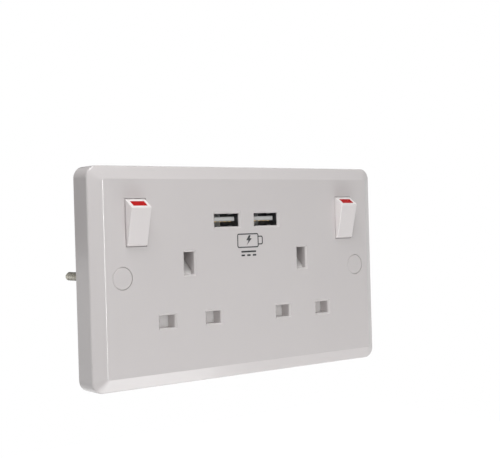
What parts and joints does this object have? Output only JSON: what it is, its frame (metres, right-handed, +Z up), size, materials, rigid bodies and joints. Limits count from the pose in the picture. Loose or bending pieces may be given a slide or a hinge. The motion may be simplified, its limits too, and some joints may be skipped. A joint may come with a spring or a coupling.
{
  "type": "double wall socket",
  "caption": "Double switched wall socket with three-pin shuttered outlets, rocker switches and twin charging ports on a bevelled white plate.",
  "frame": {"origin": "middle of the rear rim plane, on the wall, midway between the two fixing screws", "axes": "+X to the right seen from the front, +Z up, +Y into the wall"},
  "size_m": [0.146, 0.0476, 0.086],
  "materials": {
    "plate": "moulded white urea, smooth semi-gloss",
    "rocker": "moulded white, semi-gloss",
    "rocker_window": "red moulded insert",
    "cap": "moulded white, smooth",
    "shutter": "pale low-friction moulding",
    "plunger": "dark heat-resisting moulding",
    "base_plastic": "moulded, fine matt",
    "spring_steel": "drawn wire",
    "brass_strip": "pressed strip",
    "brass_block": "extruded and sawn",
    "gilt_lead": "thin gilt plating",
    "plated_screw": "zinc plate",
    "port_steel": "dull plated sheet",
    "port_core": "white moulding",
    "board": "green lacquered laminate",
    "ferrite": "dark sintered ferrite",
    "coil_tape": "yellow tape",
    "capacitor_sleeve": "shrunk sleeve",
    "chip": "black moulding",
    "filter_case": "yellow moulded case"
  },
  "bodies": {
    "root": {"front_plate": "plate", "base": "base_plastic", "rear_cover": "base_plastic", "neutral_bar": "brass_strip", "line_bar": "brass_strip", "earth_bar": "brass_strip", "circuit_board": "board", "board_screws": "plated_screw", "transformer_core": "ferrite", "transformer_coil": "coil_tape", "input_capacitor": "capacitor_sleeve", "output_capacitors": "capacitor_sleeve", "control_chip": "chip", "filter_block": "filter_case", "load_strip_left": "brass_strip", "port_shell_left": "port_steel", "port_core_left": "port_core", "port_leads_left": "gilt_lead", "fixing_screw_left": "plated_screw", "screw_cap_left": "cap", "load_strip_right": "brass_strip", "port_shell_right": "port_steel", "port_core_right": "port_core", "port_leads_right": "gilt_lead", "fixing_screw_right": "plated_screw", "screw_cap_right": "cap", "terminal_neutral": "brass_block", "clamp_screw_neutral": "plated_screw", "terminal_earth_left": "brass_block", "clamp_screw_earth_left": "plated_screw", "terminal_earth_right": "brass_block", "clamp_screw_earth_right": "plated_screw", "terminal_line": "brass_block", "clamp_screw_line": "plated_screw", "assembly_screw_1": "plated_screw", "assembly_screw_2": "plated_screw", "assembly_screw_3": "plated_screw", "assembly_screw_4": "plated_screw"},
    "rocker_left": {"rocker_left": "rocker", "rocker_window_left": "rocker_window", "rocker_spring_left": "spring_steel"},
    "plunger_left": {"plunger_left": "plunger"},
    "rocking_contact_left": {"rocking_contact_left": "brass_strip"},
    "shutter_left": {"shutter_left": "shutter", "shutter_spring_left": "spring_steel"},
    "rocker_right": {"rocker_right": "rocker", "rocker_window_right": "rocker_window", "rocker_spring_right": "spring_steel"},
    "plunger_right": {"plunger_right": "plunger"},
    "rocking_contact_right": {"rocking_contact_right": "brass_strip"},
    "shutter_right": {"shutter_right": "shutter", "shutter_spring_right": "spring_steel"}
  },
  "joints": [
    {"name": "rocker_tilt_left", "type": "hinge", "parent": "root", "child": "rocker_left", "pos_m": [-0.0538, -0.009, 0.0211], "axis": [1, 0, 0], "range_deg": [-18, 0]},
    {"name": "contact_rock_left", "type": "hinge", "parent": "root", "child": "rocking_contact_left", "pos_m": [-0.0538, 0.0002, 0.0211], "axis": [1, 0, 0], "range_deg": [0, 20]},
    {"name": "plunger_slide_left", "type": "slide", "parent": "rocker_left", "child": "plunger_left", "axis": [0, -0.9877, -0.1564], "range_m": [0, 0.0006], "stiffness_N_per_m": 500, "springref_m": -0.001, "deforming": ["rocker_spring_left"]},
    {"name": "shutter_slide_left", "type": "slide", "parent": "root", "child": "shutter_left", "axis": [0, 0, -1], "range_m": [0, 0.0059], "stiffness_N_per_m": 80, "springref_m": -0.003, "deforming": ["shutter_spring_left"]},
    {"name": "rocker_tilt_right", "type": "hinge", "parent": "root", "child": "rocker_right", "pos_m": [0.0538, -0.009, 0.0211], "axis": [1, 0, 0], "range_deg": [-18, 0]},
    {"name": "contact_rock_right", "type": "hinge", "parent": "root", "child": "rocking_contact_right", "pos_m": [0.0538, 0.0002, 0.0211], "axis": [1, 0, 0], "range_deg": [0, 20]},
    {"name": "plunger_slide_right", "type": "slide", "parent": "rocker_right", "child": "plunger_right", "axis": [0, -0.9877, -0.1564], "range_m": [0, 0.0006], "stiffness_N_per_m": 500, "springref_m": -0.001, "deforming": ["rocker_spring_right"]},
    {"name": "shutter_slide_right", "type": "slide", "parent": "root", "child": "shutter_right", "axis": [0, 0, -1], "range_m": [0, 0.0059], "stiffness_N_per_m": 80, "springref_m": -0.003, "deforming": ["shutter_spring_right"]}
  ],
  "couplings": [
    {"joint": "contact_rock_left", "follows": "rocker_tilt_left", "ratio": -1.1111},
    {"joint": "contact_rock_right", "follows": "rocker_tilt_right", "ratio": -1.1111}
  ]
}
